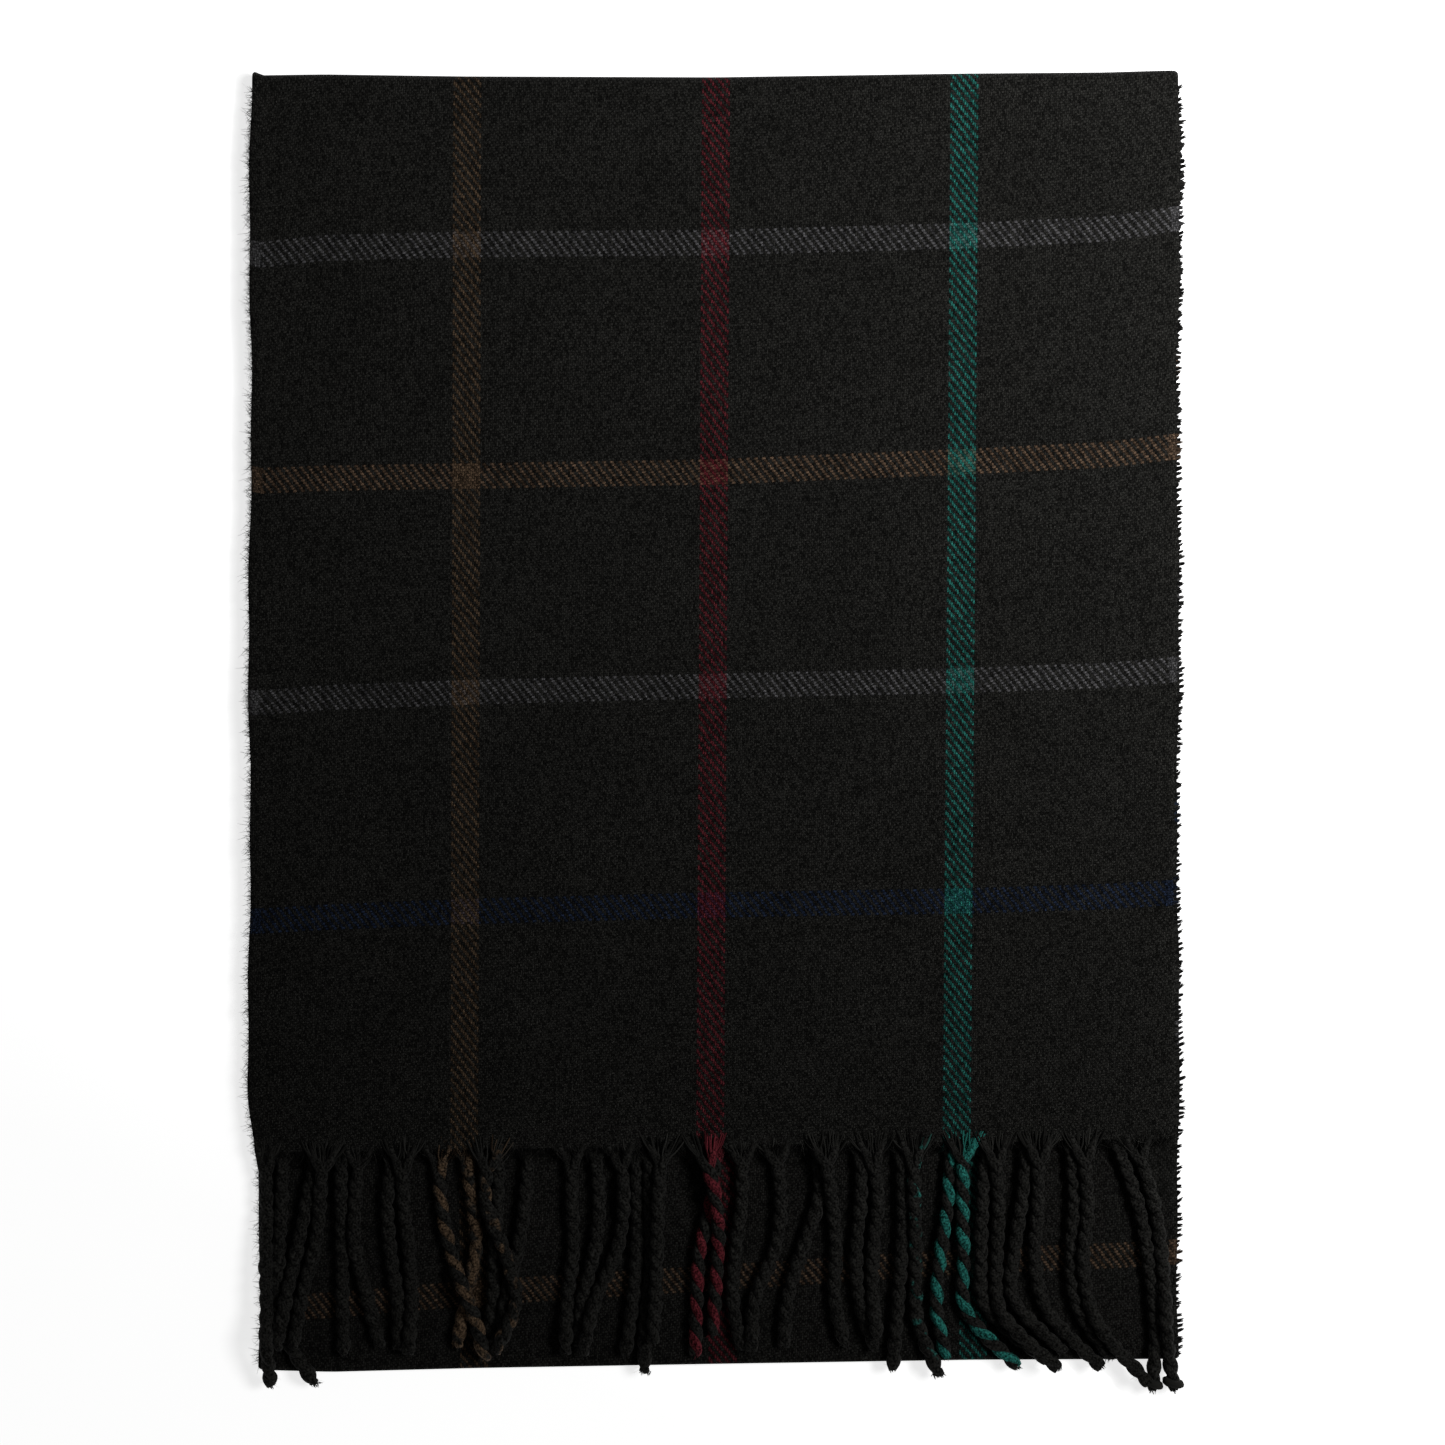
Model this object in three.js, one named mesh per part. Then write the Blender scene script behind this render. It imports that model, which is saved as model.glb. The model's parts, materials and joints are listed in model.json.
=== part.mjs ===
// A narrow fringed throw in checked twill, folded in half and in half again, so that it lies four layers deep.
// Millimetres, +Z up. X runs across the cloth from selvedge to selvedge, and +Y points at the folds at the top.
// The two layers below run on at the foot of the stack into the fold at the middle of the cloth.
// The two layers above end short of it, and their twisted fringe cords lie on what is below them.

import * as THREE from "three";

// The cloth
const CLOTH_THICKNESS = 1.5;
const LAYER_GAP = 0.3;
const LAYER_PITCH = CLOTH_THICKNESS + LAYER_GAP;
const CLOTH_WIDTH = 320;
const LOWER_INSET = 3; // the two lower layers are drawn in by this much at their left selvedge

// Where the stack ends, measured along the cloth
const FOLDED_LENGTH = 446; // from the outside of the top fold to the outside of the foot fold
const ENDS_TO_TOP = 370; // from the cloth's two fringed ends to the outside of the top fold
const FOLD_SEGMENTS = 10;
const FOLD_CLEARANCE = 0.2; // a fold starts this far beyond the edge of the layer that it continues

// The fringe
const CORD_RADIUS = 2;
const CORD_SIDES = 8;
const CORD_STEPS = 16;
const CORD_STATIONS = 48; // places along a cord where its height is worked out
const CORD_SPACING = 4.8; // centre to centre, where one cord lies on or against another
const CORD_RISE = 0.5; // the steepest that a cord climbs over another, as rise over run
const ROOT_GAP = 1.5; // between the end of the cloth and the start of a cord's solid

// Each cord of the lower end, from left to right: how far across from the middle it lies at its root,
// at three places on its way and at its tip, and then how far from the cloth's end its tip is.
const UNDER_CORDS = [
  [-149.5, -150, -151, -150.5, -138.5, 82],
  [-137.5, -141, -144.5, -148, -151, 69],
  [-129.5, -129.5, -129, -129, -128.5, 72],
  [-111, -113.5, -112.5, -110, -109.5, 70],
  [-86.5, -84.5, -83, -86.5, -89.5, 69],
  [-75, -75.5, -76.5, -77, -78.5, 67],
  [-65, -66, -68.5, -72.5, -74, 69],
  [-42, -40.5, -42, -46, -48, 69],
  [-27.5, -27.5, -27.5, -29, -31.5, 72],
  [-23, -23, -22.5, -24.5, -25, 78],
  [-0.5, -2, -6, -7, -7.5, 72],
  [35, 35, 29.5, 24.5, 23, 69],
  [49.5, 49.5, 48, 49, 54.5, 70],
  [63.5, 64, 63.5, 62, 60.5, 77],
  [80.5, 79.5, 77, 75.5, 79, 73],
  [92.5, 91.5, 91, 93, 113.5, 74],
  [107, 105, 102.5, 102.5, 119.5, 71],
  [122, 123, 122, 124, 135.5, 73],
  [138.5, 145.5, 149, 151, 150, 84],
];

// The cords of the upper end, in the same way.
const UPPER_CORDS = [
  [-155.5, -155, -155, -154.5, -153.5, 82],
  [-135, -136.5, -138.5, -143, -145.5, 69],
  [-123, -124.5, -124.5, -120.5, -116, 69],
  [-108, -108, -106, -105, -106, 71],
  [-96, -95, -91.5, -84.5, -79.5, 73],
  [-78, -79.5, -73, -69, -76, 70],
  [-50, -50, -49.5, -51.5, -52, 71],
  [-33.5, -32, -34.5, -42, -46, 71],
  [-19, -20, -20.5, -21, -22, 67],
  [-4.5, -0.5, 0.5, -0.5, -1.5, 65],
  [8.5, 8.5, 6.5, 5.5, 8.5, 70],
  [20, 22, 20, 13, 12, 70],
  [37, 39.5, 41, 40.5, 44, 69],
  [53, 55.5, 54, 53.5, 55, 65],
  [67.5, 68, 68.5, 69, 76.5, 79],
  [84.5, 84.5, 85, 86, 103.5, 76],
  [95.5, 97, 96.5, 98, 117, 76],
  [110.5, 110.5, 109.5, 114, 132, 76],
  [126, 127.5, 126, 131, 148, 81],
  [145, 151, 153.5, 154.5, 157.5, 84],
];

// Heights of the four layers' undersides, from the surface up
const [BOTTOM_Z, THIRD_Z, SECOND_Z, TOP_Z] = [0, 1, 2, 3].map((level) => level * LAYER_PITCH);
const FOLD_BAND = 2 * LAYER_PITCH - LAYER_GAP / 2; // outer radius of a fold around two layers on each side
const TOP_FOLD_Y = FOLDED_LENGTH / 2 - FOLD_BAND; // axis of the fold at the top
const TOP_FOLD_Z = SECOND_Z - LAYER_GAP / 2;
const FOOT_FOLD_Y = -FOLDED_LENGTH / 2 + CLOTH_THICKNESS + LAYER_GAP / 2; // axis of the fold at the foot
const FOOT_FOLD_Z = THIRD_Z - LAYER_GAP / 2;
const CLOTH_END_Y = FOLDED_LENGTH / 2 - ENDS_TO_TOP;

const BLACK = 0x191917;
const COLOURED = { brown: 0x6a4530, burgundy: 0x6e1f2b, green: 0x0f6a5c };
// Cords that carry on from a coloured stripe, by end and place from the left
const STRIPE_CORDS = {
  under_05: "brown",
  under_11: "burgundy",
  under_15: "green",
  upper_05: "brown",
  upper_10: "burgundy",
  upper_16: "green",
};

function woolly(colour) {
  return new THREE.MeshStandardMaterial({ color: colour, roughness: 0.95, metalness: 0 });
}

function namedMesh(name, geometry, colour) {
  const mesh = new THREE.Mesh(geometry, woolly(colour));
  mesh.name = name;
  return mesh;
}

// One flat layer of the cloth, from fromY to toY, with its underside at z
function clothLayer(name, z, fromY, toY, inset) {
  const geometry = new THREE.BoxGeometry(CLOTH_WIDTH - inset, toY - fromY, CLOTH_THICKNESS);
  const layer = namedMesh(name, geometry, BLACK);
  layer.position.set(inset / 2, (fromY + toY) / 2, z + CLOTH_THICKNESS / 2);
  return layer;
}

// The cloth turning over itself: half a tube along X, bulging towards +Y or -Y
function clothFold(name, y, z, innerRadius, direction, inset) {
  const turn = (Math.PI / 2) * direction;
  const band = new THREE.Shape();
  band.absarc(0, 0, innerRadius + CLOTH_THICKNESS, 0, Math.PI, false);
  band.absarc(0, 0, innerRadius, Math.PI, 0, true);
  band.closePath();
  const geometry = new THREE.ExtrudeGeometry(band, {
    depth: CLOTH_WIDTH - inset,
    bevelEnabled: false,
    curveSegments: FOLD_SEGMENTS,
  });
  geometry.translate(0, 0, -(CLOTH_WIDTH - inset) / 2);
  // The section's bulge is turned from +Y to sideways, and its length from Z to X
  geometry.rotateZ(-turn);
  geometry.rotateY(Math.PI / 2);
  geometry.rotateX(Math.PI / 2);
  const fold = namedMesh(name, geometry, BLACK);
  fold.position.set(inset / 2, y, z);
  return fold;
}

// The nearest place to (x, y) on a laid cord, seen from above: how far off it is, and the cord's height there
function nearestOnCord(cord, x, y) {
  let best = { distance: Infinity, z: 0 };
  for (let i = 1; i < cord.length; i += 1) {
    const [a, b] = [cord[i - 1], cord[i]];
    const run = new THREE.Vector2(b.x - a.x, b.y - a.y);
    const along = new THREE.Vector2(x - a.x, y - a.y).dot(run) / run.lengthSq();
    const t = THREE.MathUtils.clamp(along, 0, 1);
    const distance = Math.hypot(a.x + run.x * t - x, a.y + run.y * t - y);
    if (distance < best.distance) {
      best = { distance, z: THREE.MathUtils.lerp(a.z, b.z, t) };
    }
  }
  return best;
}

// A cord's centre line, laid on the third layer of the cloth and over the cords that are there already
function layCord(places, laid) {
  const hang = places[places.length - 1];
  const across = places.slice(0, -1);
  const spacing = (hang - ROOT_GAP) / (across.length - 1);
  const route = new THREE.SplineCurve(
    across.map((x, i) => new THREE.Vector2(x, CLOTH_END_Y - ROOT_GAP - i * spacing)),
  );
  const bedZ = SECOND_Z + CORD_RADIUS;
  const line = route.getSpacedPoints(CORD_STATIONS).map((p) => new THREE.Vector3(p.x, p.y, bedZ));
  for (const point of line) {
    for (const cord of laid) {
      const near = nearestOnCord(cord, point.x, point.y);
      if (near.distance < CORD_SPACING) {
        const lifted = near.z + Math.sqrt(CORD_SPACING ** 2 - near.distance ** 2);
        point.z = Math.max(point.z, lifted);
      }
    }
  }
  // Nowhere does it climb steeper than a cord can
  const heights = line.map((a) => {
    const allowed = line.map((b) => b.z - Math.hypot(a.x - b.x, a.y - b.y) * CORD_RISE);
    return Math.max(...allowed);
  });
  line.forEach((point, i) => point.setZ(heights[i]));
  return line;
}

function fringeCord(name, line, colour) {
  const section = new THREE.Shape();
  for (let i = 0; i < CORD_SIDES; i += 1) {
    const angle = ((i + 0.5) / CORD_SIDES) * 2 * Math.PI;
    const corner = [CORD_RADIUS * Math.cos(angle), CORD_RADIUS * Math.sin(angle)];
    if (i === 0) {
      section.moveTo(...corner);
    } else {
      section.lineTo(...corner);
    }
  }
  section.closePath();
  const geometry = new THREE.ExtrudeGeometry(section, {
    steps: CORD_STEPS,
    bevelEnabled: false,
    extrudePath: new THREE.CatmullRomCurve3(line),
  });
  return namedMesh(name, geometry, colour);
}

// Both ends' cords: the lower end's are laid first, and the upper end's over them
function fringe() {
  const group = new THREE.Group();
  const laid = [];
  for (const [end, cords] of [["under", UNDER_CORDS], ["upper", UPPER_CORDS]]) {
    cords.forEach((places, i) => {
      const key = `${end}_${String(i + 1).padStart(2, "0")}`;
      const line = layCord(places, laid);
      laid.push(line);
      group.add(fringeCord(`fringe_cord_${key}`, line, COLOURED[STRIPE_CORDS[key]] ?? BLACK));
    });
  }
  return group;
}

function foldedCloth() {
  const group = new THREE.Group();
  const topEdge = TOP_FOLD_Y - FOLD_CLEARANCE;
  const footEdge = FOOT_FOLD_Y + FOLD_CLEARANCE;
  group.add(clothLayer("cloth_top_layer", TOP_Z, CLOTH_END_Y, topEdge, 0));
  group.add(clothLayer("cloth_second_layer", SECOND_Z, CLOTH_END_Y, topEdge, 0));
  group.add(clothLayer("cloth_third_layer", THIRD_Z, footEdge, topEdge, LOWER_INSET));
  group.add(clothLayer("cloth_bottom_layer", BOTTOM_Z, footEdge, topEdge, LOWER_INSET));
  group.add(clothFold("top_fold_outer", TOP_FOLD_Y, TOP_FOLD_Z, FOLD_BAND - CLOTH_THICKNESS, 1, 0));
  group.add(clothFold("top_fold_inner", TOP_FOLD_Y, TOP_FOLD_Z, LAYER_GAP / 2, 1, 0));
  group.add(clothFold("foot_fold", FOOT_FOLD_Y, FOOT_FOLD_Z, LAYER_GAP / 2, -1, LOWER_INSET));
  return group;
}

const foldedThrow = new THREE.Group();
foldedThrow.add(foldedCloth(), fringe());

// The origin is under the middle of the whole thing, on the surface that it lies on
const extent = new THREE.Box3().setFromObject(foldedThrow);
const middle = extent.getCenter(new THREE.Vector3());
foldedThrow.position.set(-middle.x, -middle.y, -extent.min.z);

export default foldedThrow;
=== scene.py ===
# %% [markdown]
# # A folded checked throw
#
# The object is one narrow, fringed length of brushed black twill with a window-pane check. It is folded in
# half, end to end, and then in half again, so it lies four layers deep. Its shape was made first, as plain
# solids, and those solids are loaded here as a frame that is never moved. Everything below builds the real
# look around them.

# %% Load the frame
import json
import math

import bpy
import numpy as np
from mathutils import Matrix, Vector


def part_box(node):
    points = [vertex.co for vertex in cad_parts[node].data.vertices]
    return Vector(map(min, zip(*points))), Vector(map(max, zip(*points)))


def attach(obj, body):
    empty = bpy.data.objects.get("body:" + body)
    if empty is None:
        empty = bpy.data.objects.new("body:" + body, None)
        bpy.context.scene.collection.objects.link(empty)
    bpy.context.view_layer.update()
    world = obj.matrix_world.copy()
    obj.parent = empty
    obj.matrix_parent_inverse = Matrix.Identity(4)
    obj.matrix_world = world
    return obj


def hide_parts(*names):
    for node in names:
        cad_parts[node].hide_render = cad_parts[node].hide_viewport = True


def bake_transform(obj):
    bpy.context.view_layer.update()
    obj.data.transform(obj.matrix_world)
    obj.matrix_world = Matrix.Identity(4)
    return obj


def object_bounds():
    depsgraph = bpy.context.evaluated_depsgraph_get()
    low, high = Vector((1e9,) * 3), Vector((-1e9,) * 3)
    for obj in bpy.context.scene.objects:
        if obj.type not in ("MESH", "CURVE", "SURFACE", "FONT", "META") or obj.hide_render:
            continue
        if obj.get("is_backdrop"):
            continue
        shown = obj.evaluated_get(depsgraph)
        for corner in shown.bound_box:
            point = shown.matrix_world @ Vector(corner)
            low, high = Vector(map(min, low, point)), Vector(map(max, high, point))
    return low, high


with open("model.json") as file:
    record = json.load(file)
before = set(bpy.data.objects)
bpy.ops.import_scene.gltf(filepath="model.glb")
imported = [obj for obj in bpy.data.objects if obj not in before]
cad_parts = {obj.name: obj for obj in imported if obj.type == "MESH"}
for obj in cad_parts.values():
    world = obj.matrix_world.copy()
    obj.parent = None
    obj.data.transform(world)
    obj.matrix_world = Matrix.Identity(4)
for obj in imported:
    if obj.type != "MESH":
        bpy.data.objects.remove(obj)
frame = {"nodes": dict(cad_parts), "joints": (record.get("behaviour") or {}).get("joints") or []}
cad_box = [list(corner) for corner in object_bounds()]
MM = 0.001
print("frame box in mm:", [[round(v / MM, 1) for v in corner] for corner in cad_box])

# %% [markdown]
# ## The camera
#
# The throw lies flat and is looked at from straight above. A long lens far away keeps its sides parallel.
# The view is a square half a metre wide, and the throw sits in it a little to the left of the middle and a
# little low.

# %% Camera
VIEW_WIDTH = 500 * MM
VIEW_MIDDLE = (1.9 * MM, 2.8 * MM)
LENS = 85
SENSOR = 36

camera_data = bpy.data.cameras.new("camera")
camera_data.lens = LENS
camera_data.sensor_width = SENSOR
camera = bpy.data.objects.new("camera", camera_data)
bpy.context.scene.collection.objects.link(camera)
bpy.context.scene.camera = camera
camera.location = (*VIEW_MIDDLE, VIEW_WIDTH * LENS / SENSOR)
print("camera is", round(camera.location.z, 3), "m above the floor")

# %% [markdown]
# ## Sizes that everything shares
#
# The heights of the layers, the places of the folds and the two fringed ends all come from the frame. From
# here on lengths are in millimetres, because that is how cloth is thought about, and they turn into metres
# when a mesh is made.

# %% Sizes from the frame
def box_mm(node):
    """The low and high corners of a solid of the frame."""
    return [np.array(corner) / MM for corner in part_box(node)]


def middle_height(node):
    low, high = box_mm(node)
    return (low[2] + high[2]) / 2


TOP, SECOND, THIRD, BOTTOM = (f"cloth_{name}_layer" for name in ("top", "second", "third", "bottom"))
LEFT, RIGHT = box_mm(TOP)[0][0], box_mm(TOP)[1][0]
LOWER_LEFT = box_mm(THIRD)[0][0]
ENDS_Y = box_mm(TOP)[0][1]
TOP_LINE_Y = box_mm("top_fold_outer")[1][1]
FOOT_LINE_Y = box_mm("foot_fold")[0][1]
THICK = box_mm(BOTTOM)[1][2] - box_mm(BOTTOM)[0][2]
_, HINGE_Y, HINGE_Z = (v / MM for v in frame["joints"][0]["pos_m"])
CLOTH_WIDTH = RIGHT - LEFT
rng = np.random.default_rng(7)
print("cloth", round(CLOTH_WIDTH), "mm wide, ends at", round(ENDS_Y, 1), "and folds at", round(TOP_LINE_Y, 1))

# %% [markdown]
# ## The lines that the fringe cords follow
#
# Each fringe cord is a twisted bundle of the cloth's own warp. Its solid in the frame is a plain
# eight-sided tube, so the middle of each ring of eight corners is a point of its centre line. Reading the
# line from the solid, and not writing it again here, keeps the cord exactly where the frame has it.

# %% Cord centre lines
RING_CORNERS = 8


def cord_middles(node):
    """The middles of a cord's rings of corners, from its root to its tip."""
    corners = np.array([v.co for v in frame["nodes"][node].data.vertices]) / MM
    corners = np.unique(corners.round(3), axis=0)
    corners = corners[np.argsort(-corners[:, 1])]
    return corners.reshape(-1, RING_CORNERS, 3).mean(axis=1)


CORD_NAMES = sorted(name for name in frame["nodes"] if name.startswith("fringe_cord_"))
cord_lines = {name: cord_middles(name) for name in CORD_NAMES}
print(len(cord_lines), "cords of", {len(line) for line in cord_lines.values()}, "rings each")

# %% [markdown]
# ## A small kit for making meshes
#
# Cloth and yarn are swept shapes: a row of points carried along a line. One helper turns arrays of points
# and faces into an object and stores named numbers on its points, such as how far across the cloth a point
# lies. The finishes read those numbers, so the weave stays fixed to the cloth however the cloth is bent.

# %% Points, faces and stored numbers
def make_piece(name, points, faces, values, finish):
    """An object from points in millimetres, with the named numbers stored on them."""
    mesh = bpy.data.meshes.new(name)
    mesh.from_pydata((np.asarray(points) * MM).tolist(), [], faces)
    mesh.polygons.foreach_set("use_smooth", [True] * len(mesh.polygons))
    for key, numbers in values.items():
        attribute = mesh.attributes.new(key, "FLOAT", "POINT")
        attribute.data.foreach_set("value", np.asarray(numbers, np.float32))
    mesh.materials.append(finish)
    piece = bpy.data.objects.new(name, mesh)
    bpy.context.scene.collection.objects.link(piece)
    return piece


def ease(t):
    """A smooth step from 0 to 1."""
    t = np.clip(t, 0, 1)
    return t * t * (3 - 2 * t)


def unit(v):
    """The same direction with length one."""
    return v / np.maximum(np.linalg.norm(v, axis=-1, keepdims=True), 1e-9)


# %% Smooth lines and tubes
PLACES_A_SPAN = 10


def smooth_line(points, step):
    """A smooth line through the points, as places an even step apart, and how far along each one is."""
    p = np.vstack([2 * points[0] - points[1], points, 2 * points[-1] - points[-2]])
    t = np.linspace(0, 1, PLACES_A_SPAN, endpoint=False)[:, None]
    spans = [
        b + 0.5 * t * ((c - a) + t * ((2 * a - 5 * b + 4 * c - d) + t * (3 * (b - c) + d - a)))
        for a, b, c, d in zip(p, p[1:], p[2:], p[3:])
    ]
    dense = np.vstack([*spans, points[-1:]])
    far = np.concatenate([[0], np.cumsum(np.linalg.norm(np.diff(dense, axis=0), axis=1))])
    wanted = np.linspace(0, far[-1], max(3, round(far[-1] / step) + 1))
    return np.column_stack([np.interp(wanted, far, dense[:, k]) for k in range(3)]), wanted


def axes_along(line):
    """The ways ahead, sideways and up at each place of a line."""
    ahead = unit(np.gradient(line, axis=0))
    side = unit(np.cross(ahead, [0, 0, 1]))
    return ahead, side, np.cross(side, ahead)


def ring_ways(side, up, sides):
    """The ways out to a ring's corners, for each pair of a sideways and an upward direction."""
    angle = np.arange(sides) / sides * 2 * math.pi
    return np.cos(angle)[None, :, None] * side[:, None] + np.sin(angle)[None, :, None] * up[:, None]


def tube(line, radii, sides, lobes=0, lobe_depth=0.0, lobe_turn=0.0):
    """A closed tube round a line. Lobes give it the ridges of the yarns that lie in it."""
    _, side, up = axes_along(line)
    angle = np.arange(sides) / sides * 2 * math.pi
    ridge = 1 + lobe_depth * np.cos(lobes * angle[None, :] + lobe_turn * np.arange(len(line))[:, None])
    reach = (radii[:, None] * ridge)[:, :, None]
    rings = line[:, None] + reach * ring_ways(side, up, sides)
    index = np.arange(len(line) * sides).reshape(len(line), sides)
    beside = np.roll(index, -1, 1)
    quads = np.stack([index[1:], beside[1:], beside[:-1], index[:-1]], -1)
    faces = quads.reshape(-1, 4).tolist()
    faces += [index[0].tolist(), index[-1][::-1].tolist()]
    return rings.reshape(-1, 3), faces


# %% Hairs
HAIR_SIDES = 3
HAIR_STEPS = np.array([0, 0.35, 0.7, 1.0])  # where along a hair its rings of corners are
HAIR_TAPER = np.array([1, 0.8, 0.6, 0.25])  # how thick it is there
HAIR_POINTS = HAIR_SIDES * len(HAIR_STEPS)
SLANT = [0.13, 0.31, 0.94]  # a direction that no hair is likely to take


def fibres(roots, ways, lengths, bends, radius):
    """Many fine hairs at once: where each one starts, its way, its length and its bend."""
    line = roots[:, None] + ways[:, None] * (lengths[:, None] * HAIR_STEPS)[..., None]
    line = line + bends[:, None] * (lengths[:, None] * HAIR_STEPS**2)[..., None]
    side = unit(np.cross(ways, SLANT))
    ring = ring_ways(side, np.cross(side, ways), HAIR_SIDES)
    points = line[:, :, None] + ring[:, None] * (radius * HAIR_TAPER)[None, :, None, None]
    index = np.arange(len(roots) * HAIR_POINTS).reshape(len(roots), len(HAIR_STEPS), HAIR_SIDES)
    beside = np.roll(index, -1, 2)
    quads = np.stack([index[:, :-1], index[:, 1:], beside[:, 1:], beside[:, :-1]], -1)
    faces = quads.reshape(-1, 4).tolist() + index[:, 0].tolist() + index[:, -1, ::-1].tolist()
    return points.reshape(-1, 3), faces


# %% Bundles of meshes
LOWEST = 0.03  # nothing reaches lower than this, so no hair goes through what the throw lies on


class Bundle:
    """Meshes gathered to make one piece, with their named numbers."""

    def __init__(self):
        self.points, self.faces, self.values = [], [], {}
        self.count = 0

    def add(self, points, faces, **values):
        self.faces += [[i + self.count for i in face] for face in faces]
        self.points.append(points)
        for key, number in values.items():
            self.values.setdefault(key, []).append(np.broadcast_to(number, len(points)))
        self.count += len(points)

    def piece(self, name, finish):
        values = {key: np.concatenate(parts) for key, parts in self.values.items()}
        points = np.vstack(self.points)
        points[:, 2] = np.maximum(points[:, 2], LOWEST)
        return make_piece(name, points, self.faces, values, finish)


# %% [markdown]
# ## Shader sums written as Python sums
#
# A finish is a tree of nodes. Placing dozens of Math nodes by hand hides the idea, so one small class
# stands for a node's output and overloads the operators: `1 - mask` adds a Subtract node and returns its
# output.

# %% One output of a node
class Wire:
    """One output of a node. Sums of wires and numbers add Math nodes."""

    def __init__(self, finish, socket):
        self.finish, self.socket = finish, socket

    def math(self, operation, *others):
        sockets = dict(enumerate((self, *others)))
        return self.finish.node("ShaderNodeMath", {"operation": operation}, sockets)

    def __add__(self, other):
        return self.math("ADD", other)

    def __sub__(self, other):
        return self.math("SUBTRACT", other)

    def __rsub__(self, other):
        return self.finish.node("ShaderNodeMath", {"operation": "SUBTRACT"}, {0: other, 1: self})

    def __mul__(self, other):
        return self.math("MULTIPLY", other)

    def __truediv__(self, other):
        return self.math("DIVIDE", other)

    def __mod__(self, other):
        return self.math("FLOORED_MODULO", other)

    def __lt__(self, other):
        return self.math("LESS_THAN", other)

    def __gt__(self, other):
        return self.math("GREATER_THAN", other)

    def __abs__(self):
        return self.math("ABSOLUTE")

    __radd__ = __add__
    __rmul__ = __mul__


# %% A finish being made
class Finish:
    """A material being made, and the ways to add nodes to it."""

    def __init__(self, name):
        self.material = bpy.data.materials.new(name)
        self.material.use_nodes = True
        self.tree = self.material.node_tree
        self.tree.nodes.clear()

    def node(self, kind, settings=None, sockets=None, out=0):
        """A new node with its settings made and its inputs filled or wired up."""
        made = self.tree.nodes.new(kind)
        for key, value in (settings or {}).items():
            setattr(made, key, value)
        for key, value in (sockets or {}).items():
            if isinstance(value, Wire):
                self.tree.links.new(value.socket, made.inputs[key])
            else:
                made.inputs[key].default_value = value
        return Wire(self, made.outputs[out]) if made.outputs else None

    def stored(self, name):
        """A named number that the mesh carries on its points."""
        return self.node("ShaderNodeAttribute", {"attribute_name": name}, out="Fac")

    def place(self, x, y, z=0.0):
        return self.node("ShaderNodeCombineXYZ", None, {0: x, 1: y, 2: z})

    def noise(self, where, scale, detail=2.0):
        """Soft noise around a half."""
        return self.node("ShaderNodeTexNoise", None, {"Vector": where, "Scale": scale, "Detail": detail})

    def speck(self, where):
        """One random number for each thread crossing."""
        return self.node("ShaderNodeTexWhiteNoise", {"noise_dimensions": "2D"}, {"Vector": where})

    def mix(self, factor, a, b):
        """Colour a where the factor is 0, and b where it is 1."""
        settings = {"data_type": "RGBA", "clamp_factor": True}
        a, b = (c if isinstance(c, Wire) else (*c, 1.0) for c in (a, b))
        return self.node("ShaderNodeMix", settings, {0: factor, 6: a, 7: b}, out=2)

    def shade(self, colour, amount):
        """A colour made lighter or darker."""
        return self.node("ShaderNodeVectorMath", {"operation": "SCALE"}, {0: colour, 3: amount})

    def wool(self, colour, height, depth, sheen):
        """A matt, woolly surface, which ends the tree."""
        bump = self.node("ShaderNodeBump", None, {"Height": height, "Distance": depth * MM, "Strength": 0.8})
        body = self.node("ShaderNodeBsdfPrincipled", None, {
            "Base Color": colour, "Normal": bump, "Roughness": 0.92, "Specular IOR Level": 0.03,
            "Sheen Weight": sheen, "Sheen Roughness": 0.5,
        })
        self.node("ShaderNodeOutputMaterial", None, {0: body})
        return self.material


# %% [markdown]
# ## The twill
#
# The cloth is a 2/2 twill: each thread goes over two and under two, and every next thread does so one step
# along. That makes the slanting ribs. Warp threads, called ends, run along the cloth, and weft threads,
# called picks, run across it. A stripe is a few dyed threads among the black, so it shows only where its
# threads are on top, as slanting dashes. Building the finish thread by thread gives the dashes, the
# brighter squares where two stripes cross and the plain black ground all from one rule. The cloth is
# brushed, so a nap of loose fibres blurs the threads.

# %% Threads and dyes
END_PITCH = 0.69
PICK_PITCH = 0.885
FLOAT = 2  # how many threads one goes over
REPEAT = 2 * FLOAT
WARP_STRIPE_HALF = 4.83
WEFT_STRIPE_HALF = 4.43
WARP_STRIPES = {"brown": -85.5, "burgundy": 0.0, "green": 85.5}
FIRST_WEFT_STRIPE = 82.3
WEFT_STRIPE_PITCH = 76.7
LAST_WEFT_STRIPE = 19
SELVEDGE_WIDTH = 3.6
RIB_PITCH = REPEAT * END_PITCH * math.cos(math.atan(END_PITCH / PICK_PITCH))

DYES = {
    "black": (0.0125, 0.0123, 0.0112),
    "brown": (0.053, 0.035, 0.0215),
    "burgundy": (0.066, 0.0100, 0.0135),
    "green": (0.0115, 0.086, 0.072),
    "navy": (0.0085, 0.0140, 0.030),
    "grey": (0.052, 0.051, 0.053),
    "camel": (0.070, 0.045, 0.029),
}
print("twill ribs every", round(RIB_PITCH, 2), "mm")

# %% Colours of the threads
CROSSING_WARP = 0.45  # how much of the warp's colour the weft takes on where two stripes cross


def warp_colour(finish, end):
    """The colour of a warp thread, and 1 where it belongs to a stripe."""
    end_place = (end + 0.5) * END_PITCH
    warp, in_stripe = DYES["black"], 0.0
    for name, place in WARP_STRIPES.items():
        here = abs(end_place - place) < WARP_STRIPE_HALF
        warp = finish.mix(here, warp, DYES[name])
        in_stripe = here + in_stripe
    return warp, in_stripe


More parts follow.
